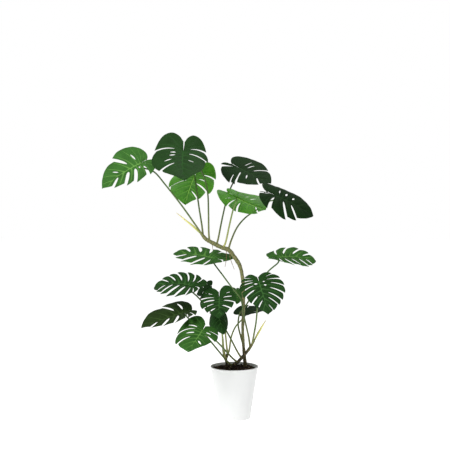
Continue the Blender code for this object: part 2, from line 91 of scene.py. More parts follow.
LEAVES = {
    "top_left": Leaf(
        (-0.413, -0.060, 1.140), (-161, -27, -32), 0.206, (0.96, 1.08), (0.91, 0.82),
        (17, 16, 29, -13, 9), (-0.01, -1), "mid", "green",
        ((0.40, 0.35, 1, 20), (0.58, 0.22, 1, 19), (0.70, 0.20, 1, 18), (0.85, 0.22, 1, 14),
         (0.49, 0.20, 0.34, 5), (0.27, 0.25, 0.40, 4)),
        ((0.62, 0.30, 1, 17), (0.44, 0.30, 0.62, 5), (0.80, 0.25, 0.55, 3)),
        ((-0.134, -0.002, 0.806), (-0.159, -0.014, 0.844), (-0.234, -0.030, 0.951),
         (-0.308, -0.045, 1.046), (-0.355, -0.055, 1.100)),
    ),
    "top_centre": Leaf(
        (-0.223, -0.120, 1.187), (-94, -45, -6), 0.228, (0.91, 1.15), (1.42, 1.50),
        (-19, 35, 39, 36, 12), (0.11, 5), "deep", "green",
        ((0.35, 0.30, 1, 8), (0.50, 0.20, 1, 9), (0.66, 0.25, 0.50, 3)),
        ((0.36, 0.28, 1, 8), (0.73, 0.28, 1, 8), (0.55, 0.25, 0.40, 4), (0.47, 0.22, 0.36, 4),
         (0.64, 0.35, 0.60, 4)),
        ((-0.112, 0.001, 0.794), (-0.115, -0.006, 0.835), (-0.116, -0.015, 0.924), (-0.119, -0.020, 1.005),
         (-0.134, -0.020, 1.076), (-0.167, -0.030, 1.138)),
    ),
    "top_pale": Leaf(
        (-0.180, 0.050, 1.090), (111, -31, 2), 0.217, (0.96, 0.92), (1.04, 1.50),
        (7, 38, 21, 37, 3), (-0.06, 3), "pale", "green",
        ((0.56, 0.20, 1, 6), (0.40, 0.30, 0.62, 4)),
        ((0.35, 0.33, 1, 8), (0.64, 0.25, 1, 13), (0.82, 0.25, 1, 8), (0.50, 0.25, 0.60, 4)),
        ((-0.141, 0.004, 0.815), (-0.146, 0.012, 0.861), (-0.159, 0.014, 0.943), (-0.169, 0.015, 1.015)),
    ),
    "top_right": Leaf(
        (0.022, 0.100, 1.130), (-38, -25, 32), 0.196, (0.92, 0.95), (1.31, 1.38),
        (-5, 29, 16, 20, 6), (0.01, -1), "black", "green",
        ((0.70, 0.25, 1, 8), (0.45, 0.30, 0.75, 4), (0.56, 0.25, 0.60, 4)),
        ((0.15, 0.30, 1, 12), (0.47, 0.50, 1, 8), (0.56, 0.20, 1, 11), (0.86, 0.25, 1, 8),
         (0.70, 0.25, 0.50, 3)),
        ((-0.080, 0.002, 0.776), (-0.071, 0.012, 0.812), (-0.056, 0.030, 0.889), (-0.036, 0.050, 0.976),
         (-0.014, 0.070, 1.041)),
    ),
    "far_right": Leaf(
        (0.180, -0.100, 0.993), (7, -22, 37), 0.198, (1.13, 1.10), (1.22, 1.50),
        (18, 9, 42, 41, 11), (0.08, 5), "black", "green",
        ((0.46, 0.25, 0.42, 4), (0.60, 0.22, 0.40, 4), (0.72, 0.22, 0.40, 3)),
        ((0.08, 0.30, 1, 12), (0.33, 0.26, 1, 15), (0.57, 0.22, 1, 13), (0.71, 0.25, 1, 12)),
        ((-0.027, 0.000, 0.755), (-0.013, 0.008, 0.799), (0.013, 0.030, 0.855), (0.054, 0.060, 0.902),
         (0.118, 0.085, 0.945), (0.160, 0.058, 0.974)),
    ),
    "right_pale": Leaf(
        (0.009, -0.080, 0.987), (43, -19, -11), 0.212, (0.90, 0.82), (1.30, 1.48),
        (-14, 23, -4, 21, 2), (0.08, -31), "pale", "yellowish",
        ((0.48, 0.25, 1, 10), (0.62, 0.28, 1, 9), (0.89, 0.25, 1, 8), (0.35, 0.30, 0.65, 4)),
        ((0.50, 0.28, 0.62, 4), (0.64, 0.28, 0.60, 4)),
        ((-0.050, -0.001, 0.765), (-0.038, -0.014, 0.792), (-0.022, -0.035, 0.866),
         (-0.007, -0.065, 0.930)),
    ),
    "upper_left": Leaf(
        (-0.092, 0.060, 0.713), (156, 12, -19), 0.223, (0.97, 1.11), (0.92, 1.22),
        (17, 12, 17, 41, 13), (-0.04, -8), "mid", "green",
        ((0.38, 0.35, 1, 17), (0.54, 0.22, 1, 19), (0.70, 0.20, 1, 18), (0.85, 0.25, 1, 15)),
        ((0.40, 0.38, 1, 14), (0.56, 0.24, 1, 17), (0.71, 0.22, 1, 17), (0.85, 0.25, 1, 14)),
        ((0.070, -0.037, 0.323), (0.063, -0.035, 0.369), (0.051, -0.037, 0.422), (0.041, -0.036, 0.466),
         (0.028, -0.028, 0.536), (-0.011, -0.010, 0.585), (-0.051, 0.020, 0.637)),
    ),
    "upper_right": Leaf(
        (0.192, -0.060, 0.722), (12, 7, 17), 0.185, (0.87, 1.09), (0.80, 1.05),
        (27, 24, 15, 2, 9), (0.01, 28), "mid", "green",
        ((0.40, 0.30, 1, 12), (0.56, 0.28, 1, 12), (0.72, 0.28, 1, 11), (0.86, 0.30, 1, 9)),
        ((0.36, 0.32, 1, 12), (0.50, 0.28, 1, 11), (0.64, 0.28, 1, 11), (0.77, 0.28, 1, 11),
         (0.89, 0.30, 1, 9)),
        ((0.041, 0.018, 0.323), (0.030, 0.030, 0.358), (0.018, 0.036, 0.411), (0.024, 0.036, 0.461),
         (0.042, 0.030, 0.485), (0.062, 0.020, 0.517), (0.106, 0.000, 0.592), (0.150, -0.020, 0.657)),
    ),
    "middle_right": Leaf(
        (0.103, -0.160, 0.624), (-79, -34, 9), 0.193, (1.00, 0.87), (0.84, 0.92),
        (11, 18, 5, 16, 2), (0.01, -12), "dark", "green",
        ((0.21, 0.51, 1, 6), (0.35, 0.33, 1, 8), (0.47, 0.41, 1, 8), (0.60, 0.35, 1, 8),
         (0.71, 0.30, 1, 7), (0.80, 0.28, 1, 6), (0.91, 0.35, 1, 5), (0.41, 0.15, 0.26, 4),
         (0.54, 0.15, 0.26, 4)),
        ((0.21, 0.45, 1, 7), (0.31, 0.28, 1, 8), (0.41, 0.30, 0.92, 6), (0.52, 0.28, 1, 8),
         (0.63, 0.25, 1, 9), (0.76, 0.25, 1, 7), (0.86, 0.25, 1, 6), (0.47, 0.12, 0.26, 4)),
        ((0.079, -0.043, 0.337), (0.086, -0.064, 0.384), (0.095, -0.070, 0.439), (0.100, -0.080, 0.501),
         (0.103, -0.100, 0.560)),
    ),
    "middle_left": Leaf(
        (-0.186, -0.100, 0.600), (165, 14, -18), 0.190, (1.15, 0.90), (0.76, 1.00),
        (39, 6, 34, 18, 16), (0, -16), "dark", "green",
        ((0.22, 0.45, 1, 9), (0.34, 0.35, 1, 12), (0.49, 0.30, 1, 17), (0.62, 0.25, 1, 16),
         (0.74, 0.25, 1, 13), (0.85, 0.28, 1, 11)),
        ((0.30, 0.35, 1, 7), (0.42, 0.28, 1, 9), (0.53, 0.25, 1, 9), (0.65, 0.25, 1, 9),
         (0.75, 0.25, 1, 8), (0.85, 0.25, 1, 7)),
        ((0.032, -0.018, 0.271), (0.012, -0.020, 0.302), (-0.039, -0.013, 0.395), (-0.100, -0.025, 0.471),
         (-0.156, -0.055, 0.540)),
    ),
    "middle_front": Leaf(
        (-0.067, -0.115, 0.551), (-90, -29, 4), 0.172, (0.83, 0.93), (1.47, 1.21),
        (-11, 23, 3, 10, 12), (0, 3), "dark", "yellowish",
        ((0.30, 0.45, 1, 6), (0.43, 0.25, 0.92, 6), (0.57, 0.25, 1, 9), (0.73, 0.22, 1, 8),
         (0.86, 0.25, 1, 7)),
        ((0.30, 0.40, 0.92, 5), (0.43, 0.22, 1, 8), (0.55, 0.22, 0.90, 6), (0.67, 0.28, 1, 8),
         (0.80, 0.28, 1, 8)),
        ((-0.031, 0.025, 0.283), (-0.036, 0.018, 0.333), (-0.042, 0.013, 0.394), (-0.048, 0.000, 0.451),
         (-0.056, -0.035, 0.505)),
    ),
    "lower_centre": Leaf(
        (-0.073, -0.083, 0.479), (-82, -22, 12), 0.128, (0.75, 0.83), (1.01, 1.05),
        (35, 17, 83, 67, -10), (0.03, -20), "dark", "yellowish",
        ((0.62, 0.35, 1, 4),),
        (),
        ((-0.036, 0.026, 0.250), (-0.047, 0.006, 0.302), (-0.052, -0.015, 0.359), (-0.061, -0.048, 0.416)),
    ),
    "lower_left": Leaf(
        (-0.211, -0.120, 0.488), (-163, -15, -15), 0.205, (0.96, 1.07), (0.66, 0.65),
        (3, 32, 4, 16, 13), (0, -5), "brownish", "green",
        ((0.30, 0.35, 1, 15), (0.44, 0.28, 1, 17), (0.59, 0.25, 1, 17), (0.73, 0.25, 1, 16),
         (0.87, 0.28, 1, 12)),
        ((0.59, 0.28, 1, 16), (0.42, 0.25, 0.75, 7)),
        ((-0.008, 0.007, 0.233), (-0.033, -0.006, 0.255), (-0.108, -0.030, 0.349),
         (-0.166, -0.055, 0.421)),
    ),
    "lower_front": Leaf(
        (-0.136, -0.200, 0.422), (-108, -22, -25), 0.179, (0.82, 1.16), (0.92, 1.36),
        (-2, 23, -4, 53, 5), (-0.03, 23), "mid", "green",
        ((0.35, 0.35, 1, 9), (0.58, 0.20, 1, 13), (0.80, 0.25, 0.75, 4), (0.47, 0.25, 0.55, 5)),
        ((0.47, 0.25, 1, 9), (0.72, 0.32, 1, 10), (0.60, 0.22, 0.55, 4), (0.36, 0.25, 0.65, 4)),
        ((0.014, -0.008, 0.250), (-0.013, -0.026, 0.276), (-0.076, -0.085, 0.353),
         (-0.111, -0.135, 0.386)),
    ),
    "back_right": Leaf(
        (0.044, 0.130, 0.460), (23, 22, 11), 0.125, (0.85, 0.93), (1.13, 0.88),
        (45, 4, -15, -7, 0), (0, 2), "black", "yellowish",
        ((0.62, 0.40, 1, 4),),
        ((0.60, 0.40, 1, 4),),
        ((-0.034, 0.027, 0.264), (-0.022, 0.042, 0.300), (-0.014, 0.065, 0.350), (0.008, 0.090, 0.398)),
    ),
    "back_left": Leaf(
        (-0.118, 0.090, 0.580), (146, -23, -56), 0.084, (0.90, 0.90), (1.00, 1.00),
        (15, 20, 20, 20, 5), (0, 0), "black", "green",
        ((0.50, 0.35, 1, 4), (0.70, 0.30, 1, 4)),
        ((0.50, 0.35, 1, 4), (0.70, 0.30, 1, 4)),
        ((-0.035, 0.028, 0.240), (-0.050, 0.043, 0.285), (-0.056, 0.052, 0.377), (-0.074, 0.060, 0.477)),
    ),
    "middle_small": Leaf(
        (0.010, 0.060, 0.566), (-80, -30, -10), 0.080, (0.89, 0.85), (0.97, 0.99),
        (33, 7, 62, 16, 2), (-0.07, -27), "mid", "green",
        (),
        (),
        ((0.039, 0.008, 0.440), (0.046, 0.054, 0.480), (0.034, 0.082, 0.530)),
    ),
}

# Stems, new leaves and roots: rows of (x, y, z, radius)
STEMS = {
    "main_stem": (
        (0.050, 0.030, 0.180, 0.0090), (0.050, 0.030, 0.226, 0.0095), (0.044, 0.022, 0.291, 0.0075),
        (0.040, 0.016, 0.346, 0.0070), (0.038, 0.010, 0.403, 0.0070), (0.042, 0.000, 0.515, 0.0070),
        (0.041, -0.003, 0.565, 0.0075), (0.036, -0.006, 0.632, 0.0080), (0.024, -0.006, 0.684, 0.0090),
        (-0.004, -0.004, 0.728, 0.0100), (-0.026, -0.002, 0.754, 0.0100), (-0.059, 0.000, 0.766, 0.0100),
        (-0.093, 0.002, 0.783, 0.0095), (-0.128, 0.000, 0.803, 0.0090), (-0.149, 0.000, 0.828, 0.0060),
    ),
    "side_cane": (
        (-0.015, 0.012, 0.180, 0.0070), (-0.013, 0.010, 0.223, 0.0080), (0.016, -0.008, 0.252, 0.0075),
        (0.052, -0.030, 0.296, 0.0070), (0.070, -0.038, 0.322, 0.0065), (0.087, -0.045, 0.351, 0.0050),
    ),
    "back_cane": (
        (-0.028, 0.030, 0.180, 0.0055), (-0.034, 0.028, 0.226, 0.0060), (-0.036, 0.026, 0.263, 0.0055),
        (-0.031, 0.026, 0.286, 0.0045),
    ),
}
NEW_LEAVES = {
    "new_leaf_top": (
        (-0.150, -0.001, 0.826, 0.0030), (-0.177, -0.004, 0.853, 0.0045), (-0.217, -0.010, 0.886, 0.0035),
        (-0.259, -0.014, 0.920, 0.0010),
    ),
    "new_leaf_side": (
        (0.087, -0.044, 0.351, 0.0030), (0.104, -0.041, 0.382, 0.0045), (0.122, -0.042, 0.414, 0.0038),
        (0.141, -0.045, 0.445, 0.0010),
    ),
}
AERIAL_ROOTS = {
    "aerial_root_long": (
        (-0.022, -0.003, 0.750, 0.0016), (-0.017, -0.010, 0.713, 0.0014), (0.000, -0.012, 0.666, 0.0009),
    ),
    "aerial_root_middle": (
        (-0.037, -0.001, 0.757, 0.0016), (-0.036, -0.008, 0.718, 0.0014), (-0.042, -0.010, 0.678, 0.0009),
    ),
    "aerial_root_short": (
        (-0.098, 0.002, 0.783, 0.0014), (-0.098, 0.000, 0.767, 0.0012), (-0.096, -0.001, 0.752, 0.0009),
    ),
}
NODE_SPACING = 0.024         # between the ring scars of a stem
STEM_SIDES = 26
NEW_LEAF_SIDES = 20
ROOT_SIDES = 12
PETIOLE_SIDES = 14
PETIOLE_RADII = (0.0048, 0.0040, 0.0037, 0.0035, 0.0034)
KNEE_DEPTH = 0.024           # where a petiole turns up to its blade, below the joint
KNEE_RADIUS = 0.0032
KNEE_SWELL = 0.22            # share that the knee is thicker, its middle's way from the end, and its spread
KNEE_PLACE = 0.014
KNEE_SPREAD = 0.008
PETIOLE_TOP_RADIUS = 0.0026
BLADE_CLEARANCE = 0.0008     # between a petiole's end and the underside of its blade


# ---- shader maths ----

class Value:
    """A number made by a node, which ordinary arithmetic works on."""

    def __init__(self, look, socket):
        self.look = look
        self.socket = socket

    def maths(self, operation, first, second=0.0):
        return self.look.node("ShaderNodeMath", {"operation": operation}, {0: first, 1: second})

    def __add__(self, other):
        return self.maths("ADD", self, other)

    def __sub__(self, other):
        return self.maths("SUBTRACT", self, other)

    def __mul__(self, other):
        return self.maths("MULTIPLY", self, other)

    def __truediv__(self, other):
        return self.maths("DIVIDE", self, other)

    __radd__ = __add__

    def part(self):
        """What is left above the whole number below."""
        return self.maths("FRACT", self)

    def size(self):
        return self.maths("ABSOLUTE", self)


class Look:
    """A material with one Principled shader, and the nodes that feed it."""

    def __init__(self, name, roughness=0.5, specular=0.5):
        self.material = bpy.data.materials.new(name)
        self.material.use_nodes = True
        self.tree = self.material.node_tree
        self.shader = self.tree.nodes["Principled BSDF"]
        self.shader.inputs["Roughness"].default_value = roughness
        self.shader.inputs["Specular IOR Level"].default_value = specular

    def plug(self, socket, value):
        if isinstance(value, Value):
            self.tree.links.new(value.socket, socket)
        else:
            socket.default_value = value

    def node(self, kind, settings=None, inputs=None, output=0):
        node = self.tree.nodes.new(kind)
        for key, value in (settings or {}).items():
            if key == "stops":
                while len(node.color_ramp.elements) < len(value):
                    node.color_ramp.elements.new(1.0)
                for element, (place, colour) in zip(node.color_ramp.elements, value):
                    element.position = place
                    element.color = (*colour, 1)
            else:
                setattr(node, key, value)
        for key, value in (inputs or {}).items():
            self.plug(node.inputs[key], value)
        return Value(self, node.outputs[output])

    def surface(self):
        """The piece's own surface coordinates: across and along."""
        spot = self.node("ShaderNodeUVMap", {"uv_map": "surface"})
        across = self.node("ShaderNodeSeparateXYZ", inputs={0: spot})
        along = Value(self, across.socket.node.outputs[1])
        return spot, across, along

    def in_metres(self):
        return self.node("ShaderNodeTexCoord", output="Object")

    def noise(self, scale, detail=3.0, spot=None, stretch=None):
        spot = spot or self.in_metres()
        if stretch:
            spot = self.node("ShaderNodeMapping", inputs={"Vector": spot, "Scale": stretch})
        return self.node("ShaderNodeTexNoise", inputs={"Vector": spot, "Scale": scale, "Detail": detail})

    def smooth(self, value, low, high):
        """0 below low and 1 above high, with an eased change between; low may be above high."""
        limits = {"Value": value, "From Min": low, "From Max": high}
        if low > high:
            limits = {"Value": value, "From Min": high, "From Max": low, "To Min": 1.0, "To Max": 0.0}
        return self.node("ShaderNodeMapRange", {"interpolation_type": "SMOOTHSTEP"}, limits)

    def ramp(self, value, stops):
        return self.node("ShaderNodeValToRGB", {"stops": stops}, {0: value})

    def blend(self, share, first, second):
        colours = [c if isinstance(c, Value) else (*c, 1) for c in (first, second)]
        return self.node("ShaderNodeMix", {"data_type": "RGBA"}, {0: share, 6: colours[0], 7: colours[1]}, 2)

    def finish(self, colour, roughness=None, height=None, depth=0.0005):
        self.plug(self.shader.inputs["Base Color"], colour)
        if roughness is not None:
            self.plug(self.shader.inputs["Roughness"], roughness)
        if height is not None:
            bump = self.node("ShaderNodeBump", inputs={"Height": height, "Distance": depth, "Strength": 1.0})
            self.plug(self.shader.inputs["Normal"], bump)
        return self.material


# ---- finishes ----

# colours of the upper side, of its lighter green (for lighter patches and for the painted highlight between
# side veins), of the veins and of the underside
LEAF_TONES = {
    "mid": ((0.006, 0.052, 0.003), (0.038, 0.185, 0.016), (0.15, 0.34, 0.07), (0.036, 0.130, 0.020)),
    "dark": ((0.001, 0.010, 0.0007), (0.008, 0.062, 0.006), (0.06, 0.17, 0.04), (0.016, 0.060, 0.011)),
    "deep": ((0.0008, 0.006, 0.0005), (0.004, 0.034, 0.003), (0.018, 0.075, 0.012), (0.014, 0.052, 0.009)),
    "black": ((0.0006, 0.003, 0.0004), (0.003, 0.018, 0.002), (0.015, 0.048, 0.010), (0.007, 0.028, 0.005)),
    "brownish": ((0.004, 0.009, 0.0015), (0.014, 0.050, 0.007), (0.055, 0.11, 0.027), (0.022, 0.050, 0.010)),
    "pale": ((0.030, 0.145, 0.007), (0.066, 0.255, 0.016), (0.18, 0.42, 0.06), (0.050, 0.205, 0.009)),
}


def vein_masks(look):
    """Midrib, side vein and fine vein, each from 0 to 1, then the way out and the way from a side vein."""
    cell, out = look.surface()[1:]
    beside = (cell.part() - 0.5).size() * (out + 0.12)
    midrib = look.smooth(out, 0.035, 0.012)
    side = look.smooth(beside, 0.040, 0.010) * look.smooth(out, 1.0, 0.75)
    fine = look.smooth(((cell * 5.0 + look.noise(60, 2) * 0.8).part() - 0.5).size(), 0.22, 0.06)
    return midrib, side, fine, out, beside


def leaf_upper(tone):
    body, light, vein = LEAF_TONES[tone][:3]
    look = Look(f"leaf_{tone}_upper", 0.36, 0.07)
    midrib, side, fine, out, beside = vein_masks(look)
    patches = look.noise(16, 4)
    # lighter patches at random: partly the leaf's own uneven tone, partly painted sheen
    colour = look.blend(look.smooth(patches, 0.36, 0.74) * 0.85, body, light)
    rise_and_painted_highlight = look.smooth(beside, 0.05, 0.42)
    # painted highlight: between two side veins the blade is blended towards the lighter green, where the
    # quilted rise would catch the light
    colour = look.blend(rise_and_painted_highlight * 0.45, colour, light)
    colour = look.blend(look.smooth(out, 0.93, 1.0) * 0.4, colour, vein)
    colour = look.blend(fine * 0.10, colour, vein)
    colour = look.blend(side * 0.42, colour, vein)
    colour = look.blend(midrib * 0.65, colour, vein)
    if tone == "brownish":
        colour = look.blend(look.smooth(look.noise(9, 2), 0.45, 0.70) * 0.5, colour, (0.055, 0.045, 0.012))
    specks = look.smooth(look.noise(420, 2), 0.60, 0.75)
    colour = look.blend(specks * 0.10, colour, light)
    roughness = 0.24 + patches * 0.16 + side * 0.08
    height = rise_and_painted_highlight * 0.9 - side * 0.5 - midrib * 0.8 + fine * -0.08
    return look.finish(colour, roughness, height, 0.0009)


def leaf_under(tone):
    vein, under = LEAF_TONES[tone][2:]
    look = Look(f"leaf_{tone}_underside", 0.55, 0.08)
    midrib, side, fine = vein_masks(look)[:3]
    patches = look.noise(18, 3)
    darker = tuple(0.72 * c for c in under)
    colour = look.blend(look.smooth(patches, 0.30, 0.70), darker, under)
    colour = look.blend(fine * 0.07, colour, vein)
    colour = look.blend(side * 0.60, colour, vein)
    colour = look.blend(midrib * 0.85, colour, vein)
    height = side * 0.8 + midrib
    return look.finish(colour, 0.5 + patches * 0.15, height, 0.0006)


PETIOLE_TONES = {
    "green": ((0.200, 0.210, 0.070), (0.095, 0.150, 0.040), (0.050, 0.120, 0.022)),
    "yellowish": ((0.420, 0.420, 0.130), (0.300, 0.340, 0.100), (0.080, 0.190, 0.035)),
}


def petiole_skin(tone):
    """Paler and yellower where it leaves the stem, then green; v runs from the stem to the blade."""
    base, middle, tip = PETIOLE_TONES[tone]
    look = Look(f"petiole_{tone}_skin", 0.45, 0.35)
    spot, _, along = look.surface()
    colour = look.ramp(along + (look.noise(30, 2) - 0.5) * 0.15, ((0.0, base), (0.28, middle), (1.0, tip)))
    streaks = look.noise(5, 3, spot, (60, 3, 1))
    colour = look.blend(look.smooth(streaks, 0.55, 0.75) * 0.45, colour, tuple(0.45 * c for c in middle))
    flecks = look.smooth(look.noise(700, 2), 0.62, 0.72)
    colour = look.blend(flecks * 0.25, colour, tuple(1.8 * c for c in tip))
    return look.finish(colour, 0.38 + streaks * 0.2, streaks, 0.0003)


def stem_bark(name, bark, green, green_from):
    """Ringed bark that turns green beyond a distance along the stem; v is in metres."""
    look = Look(name, 0.7, 0.25)
    spot, _, along = look.surface()
    wander = (look.noise(45, 3) - 0.5) * 0.010
    ring = (along + wander) / NODE_SPACING
    ledge = look.smooth((ring + 0.5).part() - 0.5, 0.0, 0.08)
    scar = look.smooth((ring.part() - 0.5).size(), 0.40, 0.49)
    fibres = look.noise(8, 5, spot, (14, 60, 1))
    dark = tuple(0.30 * c for c in bark)
    colour = look.blend(look.smooth(fibres, 0.35, 0.68), dark, bark)
    skin = look.blend(look.smooth(fibres, 0.4, 0.7), tuple(0.6 * c for c in green), green)
    turned = look.smooth(along + (look.noise(22, 3) - 0.5) * 0.16, green_from, green_from + 0.05)
    colour = look.blend(turned, colour, skin)
    colour = look.blend(scar * 0.75, colour, (0.26, 0.20, 0.10))
    edge = look.smooth((ring.part() - 0.36).size(), 0.05, 0.0)
    colour = look.blend(edge * 0.6, colour, (0.012, 0.008, 0.004))
    height = fibres * 0.6 + scar - edge * 0.8 + ledge * 0.1 + look.noise(900, 3) * 0.2
    return look.finish(colour, 0.55 + fibres * 0.3, height, 0.0012)


def new_leaf_skin():
    look = Look("new_leaf_skin", 0.4, 0.35)
    spot, _, along = look.surface()
    stops = ((0.0, (0.22, 0.30, 0.06)), (0.25, (0.55, 0.56, 0.14)), (0.75, (0.74, 0.68, 0.24)),
             (1.0, (0.50, 0.40, 0.14)))
    colour = look.ramp(along, stops)
    streaks = look.noise(4, 4, spot, (40, 2, 1))
    colour = look.blend(look.smooth(streaks, 0.5, 0.8) * 0.5, colour, (0.30, 0.30, 0.06))
    return look.finish(colour, 0.35 + streaks * 0.2, streaks, 0.0004)


def root_bark():
    look = Look("aerial_root_bark", 0.8, 0.2)
    mottle = look.noise(240, 4)
    colour = look.ramp(mottle, ((0.3, (0.055, 0.032, 0.014)), (0.7, (0.24, 0.16, 0.075))))
    return look.finish(colour, 0.7 + mottle * 0.2, mottle, 0.0006)


def pot_glaze():
    look = Look("white_pot_glaze", 0.32, 0.45)
    height = look.surface()[2]
    cloud = look.noise(9, 3)
    colour = look.blend(look.smooth(cloud, 0.3, 0.7), (0.755, 0.765, 0.76), (0.79, 0.795, 0.79))
    scuffs = look.smooth(look.noise(90, 4), 0.60, 0.74) * look.smooth(height, 0.05, 0.0)
    colour = look.blend(scuffs * 0.5, colour, (0.60, 0.60, 0.57))
    grain = look.noise(650, 2)
    return look.finish(colour, 0.28 + cloud * 0.12, grain * 0.5 + look.noise(60, 2), 0.00012)


def soil_crumbs():
    look = Look("potting_soil_crumbs", 0.95, 0.15)
    chip = look.surface()[1]
    crumbs = look.node("ShaderNodeTexVoronoi", inputs={"Vector": look.in_metres(), "Scale": 330.0})
    mottle = look.noise(200, 5)
    ground = look.ramp(mottle, ((0.3, (0.006, 0.004, 0.003)), (0.7, (0.050, 0.034, 0.022))))
    barks = look.ramp(chip, ((0.0, (0.012, 0.009, 0.007)), (0.45, (0.045, 0.028, 0.016)),
                             (0.8, (0.120, 0.070, 0.035)), (1.0, (0.230, 0.190, 0.140))))
    colour = look.blend(look.smooth(chip, 0.001, 0.002), ground, barks)
    colour = look.blend(look.smooth(mottle, 0.45, 0.7) * 0.5, colour, (0.010, 0.007, 0.005))
    return look.finish(colour, 0.85 + mottle * 0.1, crumbs * -1.0 + mottle, 0.002)


# ---- forms ----

class Form:
    """Corner points, faces, surface spots and finish numbers of one piece, before they become a mesh."""

    def __init__(self):
        self.points = []
        self.faces = []
        self.spots = []
        self.finishes = []

    def add(self, points, faces, spots, finish=0):
        first = len(self.points)
        self.points += [tuple(point) for point in points]
        self.faces += [[first + corner for corner in face] for face in faces]
        self.spots += spots
        self.finishes += [finish] * len(faces)

    def piece(self, name, materials, node, sharp=40):
        mesh = bpy.data.meshes.new(name)
        mesh.from_pydata(self.points, [], self.faces)
        layer = mesh.uv_layers.new(name="surface")
        layer.data.foreach_set("uv", [number for face in self.spots for spot in face for number in spot])
        for material in materials:
            mesh.materials.append(material)
        mesh.polygons.foreach_set("material_index", self.finishes)
        mesh.shade_smooth()
        mesh.set_sharp_from_angle(angle=radians(sharp))
        mesh.update()
        thing = bpy.data.objects.new(name, mesh)
        bpy.context.scene.collection.objects.link(thing)
        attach(thing, "root")
        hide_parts(node)
        return thing


def smooth_path(points, steps):
    """Catmull-Rom points through the given rows."""
    rows = np.array(points, float)
    rows = np.vstack([2 * rows[0] - rows[1], rows, 2 * rows[-1] - rows[-2]])
    path = []
    for a, b, c, d in zip(rows, rows[1:], rows[2:], rows[3:]):
        for t in np.arange(steps) / steps:
            path.append(0.5 * (2 * b + (c - a) * t + (2 * a - 5 * b + 4 * c - d) * t ** 2
                               + (3 * b - a - 3 * c + d) * t ** 3))
    path.append(rows[-2])
    return np.array(path)


def add_tube(form, path, sides, swell=None, in_metres=False):
    """A closed round tube along (x, y, z, radius) rows; swell(angle, distance) scales its radius."""
    centres = [Vector(row[:3]) for row in path]
    steps = [0.0] + [(b - a).length for a, b in zip(centres, centres[1:])]
    distances = np.cumsum(steps)
    points = []
    normal = None
    for index, centre in enumerate(centres):
        along = (centres[min(index + 1, len(centres) - 1)] - centres[max(index - 1, 0)]).normalized()
        normal = along.orthogonal() if normal is None else normal - along * normal.dot(along)
        normal.normalize()
        across = along.cross(normal)
        for side in range(sides):
            angle = 2 * pi * side / sides
            radius = float(path[index][3] * (swell(angle, distances[index]) if swell else 1.0))
            points.append(centre + radius * (cos(angle) * normal + sin(angle) * across))
    places = distances if in_metres else distances / distances[-1]
    faces = []
    spots = []
    for ring in range(len(centres) - 1):
        near = ring * sides
        far = near + sides
        for side in range(sides):
            other = (side + 1) % sides
            faces.append([near + side, near + other, far + other, far + side])
            spots.append([(side / sides, places[ring]), ((side + 1) / sides, places[ring]),
                          ((side + 1) / sides, places[ring + 1]), (side / sides, places[ring + 1])])
    last = (len(centres) - 1) * sides
    faces.append(list(range(sides))[::-1])
    spots.append([(0.5, 0.0)] * sides)
    faces.append([last + side for side in range(sides)])
    spots.append([(0.5, places[-1])] * sides)
    form.add(points, faces, spots)


def circle(radius, segments):
    """Evenly spaced (x, y) points round the pot's axis."""
    angles = [2 * pi * step / segments for step in range(segments)]
    return [(radius * cos(angle), radius * sin(angle)) for angle in angles]


def add_lathe(form, profile, segments):
    """Turn a (radius, height) profile that starts and ends on the axis."""
    points = []
    rings = []
    for radius, height in profile:
        count = 1 if radius == 0 else segments
        rings.append(list(range(len(points), len(points) + count)))
        points += [(x, y, height) for x, y in circle(radius, segments)[:count]]
    faces = []
    spots = []
    for (low, high), (start, end) in zip(zip(rings, rings[1:]), zip(profile, profile[1:])):
        for step in range(segments):
            other = (step + 1) % segments
            pairs = ((low, step), (low, other), (high, other), (high, step))
            corners = [ring[k % len(ring)] for ring, k in pairs]
            near = step / segments
            far = (step + 1) / segments
            shares = [(near, start[1]), (far, start[1]), (far, end[1]), (near, end[1])]
            kept = [k for k in range(4) if corners[k] not in corners[:k]]
            faces.append([corners[k] for k in kept])
            spots.append([shares[k] for k in kept])
    form.add(points, faces, spots)


# ---- leaf blades ----

def margin_table():
    curve = smooth_path(HALF_MARGIN, 12)
    lengths = np.concatenate([[0.0], np.cumsum(np.hypot(*np.diff(curve, axis=0).T))])
    return lengths / lengths[-1], curve


MARGIN_PLACES, MARGIN_CURVE = margin_table()


def vein_start(place):
    """Where on the midrib the vein to a place on the margin begins, in blade lengths."""
    return VEINED_MIDRIB * max(0.0, (place - BASAL_PLACE) / (1 - BASAL_PLACE)) ** 2.1


def flat_point(place, out):
    """Points on the flat half blade: place along the margin, out from midrib (0) to margin (1)."""
    start = vein_start(place)
    end_x = np.interp(place, MARGIN_PLACES, MARGIN_CURVE[:, 0])
    end_y = np.interp(place, MARGIN_PLACES, MARGIN_CURVE[:, 1])
    chord = np.hypot(end_x - start, end_y)
    angle = np.arctan2(end_y, end_x - start) + VEIN_BEND * sin(pi * place)
    pull = 2 * out * (1 - out)
    x = (1 - out) ** 2 * start + pull * (start + 0.5 * chord * np.cos(angle)) + out ** 2 * end_x
    y = pull * 0.5 * chord * np.sin(angle) + out ** 2 * end_y
    return x, y


def arc_step(distance, start, rate):
    """Forward and upward travel along an arc that turns down from the angle start."""
    rate = rate if abs(rate) > 1e-6 else 1e-6
    angle = start + rate * distance
    return (sin(angle) - sin(start)) / rate, (cos(angle) - cos(start)) / rate


